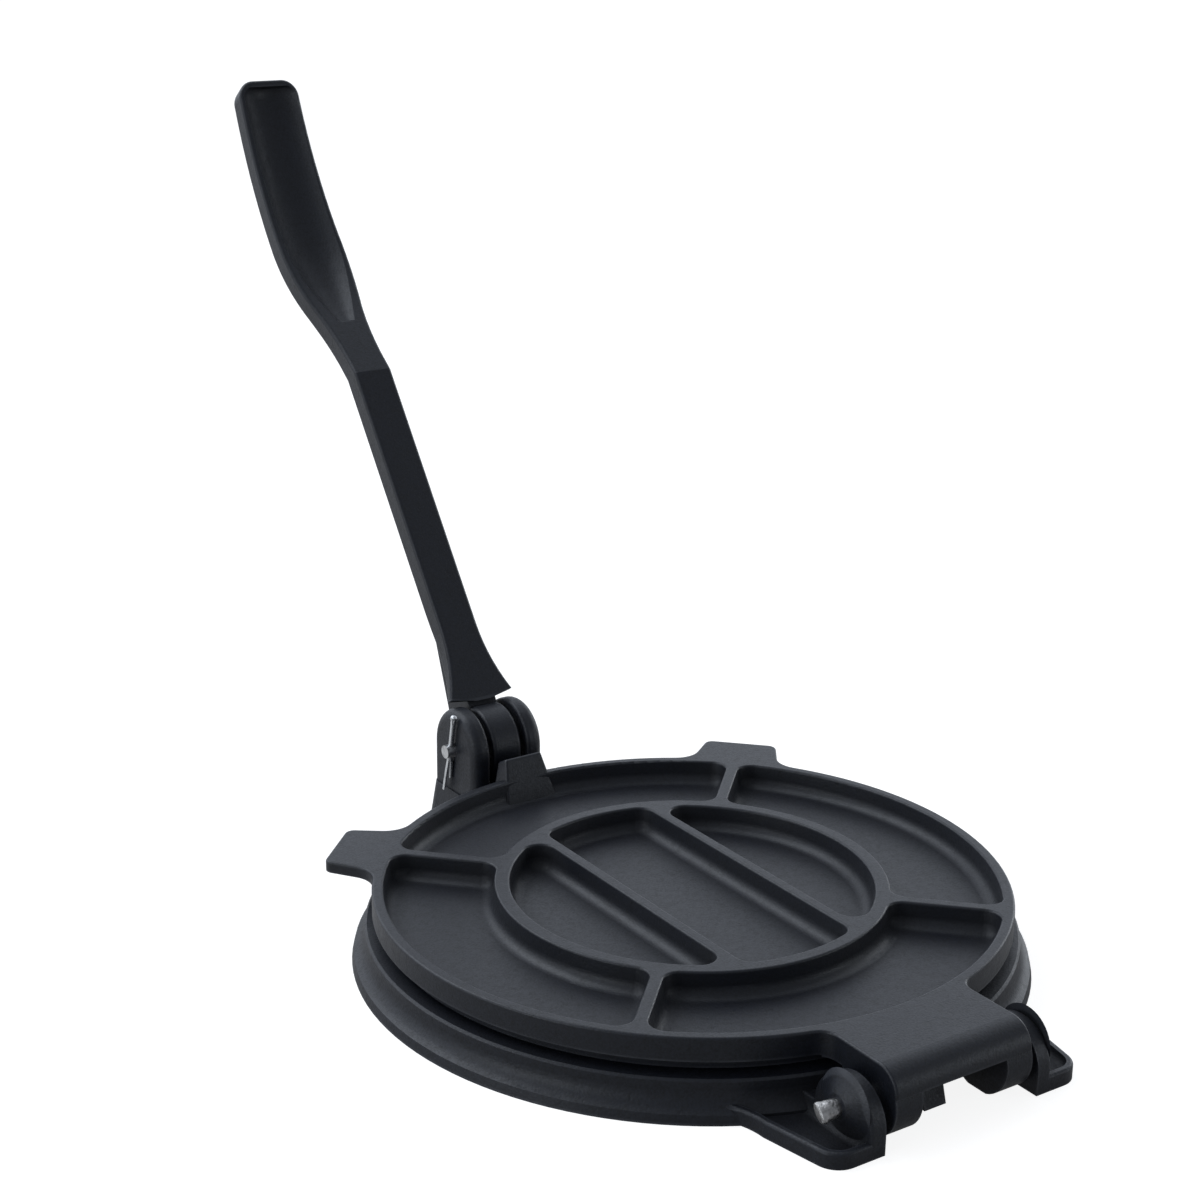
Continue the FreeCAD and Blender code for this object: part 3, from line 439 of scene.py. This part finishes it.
def hammered_rod():
    """A round rod whose left end is beaten flat aslant, with a burr behind the blows."""
    axis = Vector((0.0, hinge_spot.y, hinge_spot.z))
    length = (rod_high.x - rod_low.x) / MM
    rows = beaten_rows + [(along, rod_radius, rod_radius) for along in plain_places]
    rows += [(length - end_edge, rod_radius, rod_radius),
             (length - end_middle, end_middle_radius, end_middle_radius),
             (length, end_radius, end_radius)]
    slant = math.radians(rod_slant)
    rings = []
    for along, wide, thick in finer(rows, row_step, beaten_length):
        beaten = max(0.0, 1.0 - along / beaten_length)
        ring = []
        for step in range(rod_sides):
            angle = 2 * math.pi * step / rod_sides
            way = Vector((along * blow_along, math.cos(angle) * blow_round,
                          math.sin(angle) * blow_round))
            blow = noise.noise(way + blow_seed)
            fine = noise.noise(way * fine_blow_scale + blow_seed)
            dent = blow_depth_share * blow + fine_depth_share * fine
            swell = (1.0 + beaten * dent) * MM
            major = wide * math.cos(angle) * swell
            minor = thick * math.sin(angle) * swell
            ring.append(axis + Vector((rod_low.x + along * MM,
                                       major * math.cos(slant) - minor * math.sin(slant),
                                       major * math.sin(slant) + minor * math.cos(slant))))
        rings.append(ring)
    made = linked("hinge_rod", ring_shell("hinge_rod", rings))
    made.data.materials.append(rod_steel)
    smoothed(made.data, rod_crease)
    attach(made, "base")
    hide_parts("hinge_pin")


split_pin()
hammered_rod()


# Floor, light and camera


def pale_floor():
    """A wide plain floor that the camera sees as near white, with the shadow kept."""
    mesh = bpy.data.meshes.new("floor")
    corners = [(-1, -1), (1, -1), (1, 1), (-1, 1)]
    mesh.from_pydata([(x * floor_half, y * floor_half, 0) for x, y in corners], [], [(0, 1, 2, 3)])
    floor = linked("floor", mesh)
    made, tree, shader = new_material("floor_paper")
    shader.inputs["Base Color"].default_value = floor_tone
    shader.inputs["Roughness"].default_value = 0.9
    path = tree.nodes.new("ShaderNodeLightPath").outputs
    shader.inputs["Emission Color"].default_value = white
    place = tree.nodes.new("ShaderNodeTexCoord").outputs["Object"]
    back = add_node(tree, "ShaderNodeSeparateXYZ", {"Vector": place}).outputs["Y"]
    cast = between(tree, back, -0.3, 0.4, floor_front_glow, floor_back_glow)
    glow = add_node(tree, "ShaderNodeMapRange", {"Value": path["Is Camera Ray"], "To Min": cast,
                                                 "To Max": floor_seen})
    tree.links.new(glow.outputs[0], shader.inputs["Emission Strength"])
    mesh.materials.append(made)


def soft_world():
    """A backdrop that is bright behind and above, and plain white to the camera."""
    world = bpy.data.worlds.new("studio")
    world.use_nodes = True
    tree = world.node_tree
    way = tree.nodes.new("ShaderNodeTexCoord").outputs["Generated"]
    back = add_node(tree, "ShaderNodeSeparateXYZ", {"Vector": way}).outputs["Y"]
    backdrop = between(tree, back, -0.35, 0.55, sky_front, sky_back)
    path = tree.nodes.new("ShaderNodeLightPath").outputs
    mirrored = add_node(tree, "ShaderNodeMapRange", {"Value": path["Is Glossy Ray"],
                                                     "To Min": sky_plain_share,
                                                     "To Max": 1.0})
    strength = math_node(tree, "MAXIMUM", path["Is Camera Ray"],
                         math_node(tree, "MULTIPLY", backdrop, mirrored.outputs[0]))
    tree.links.new(strength, tree.nodes["Background"].inputs["Strength"])
    tint = blended(tree, path["Is Camera Ray"], sky_tint, white)
    tree.links.new(tint, tree.nodes["Background"].inputs["Color"])
    bpy.context.scene.world = world


def soft_box(name, spot, aim, size, watts, tint):
    """A square area light at spot that faces aim."""
    light = bpy.data.lights.new(name, "AREA")
    light.size = size
    light.energy = watts
    light.color = tint
    lamp = linked(name, light)
    way = Vector(aim) - Vector(spot)
    lamp.matrix_world = Matrix.Translation(spot) @ way.to_track_quat("-Z", "Y").to_matrix().to_4x4()


def photo_camera():
    """The camera, at the photograph's place, angle and lens."""
    camera_data = bpy.data.cameras.new("camera")
    camera_data.sensor_width = sensor_width
    camera_data.lens = camera_lens
    camera = linked("camera", camera_data)
    aim = camera_way.to_track_quat("-Z", "Y").to_matrix().to_4x4()
    turn = aim @ Matrix.Rotation(math.radians(camera_roll), 4, "Z")
    camera.matrix_world = Matrix.Translation(camera_spot) @ turn
    bpy.context.scene.camera = camera


pale_floor()
soft_world()
soft_box("key_light", (-0.6, 0.9, 1.3), (0.0, 0.0, 0.0), 1.2, 14.0, key_tint)
soft_box("left_light", (-1.5, -0.2, 0.35), (0.0, 0.0, 0.05), 0.9, 6.0, side_tint)
soft_box("right_light", (1.5, 0.2, 0.45), (0.0, -0.1, 0.05), 0.8, 5.0, right_tint)
soft_box("front_light", (1.2, -1.1, 0.22), (0.05, -0.2, 0.01), 0.6, 3.5, side_tint)
photo_camera()
bpy.context.scene.view_settings.view_transform = "Standard"
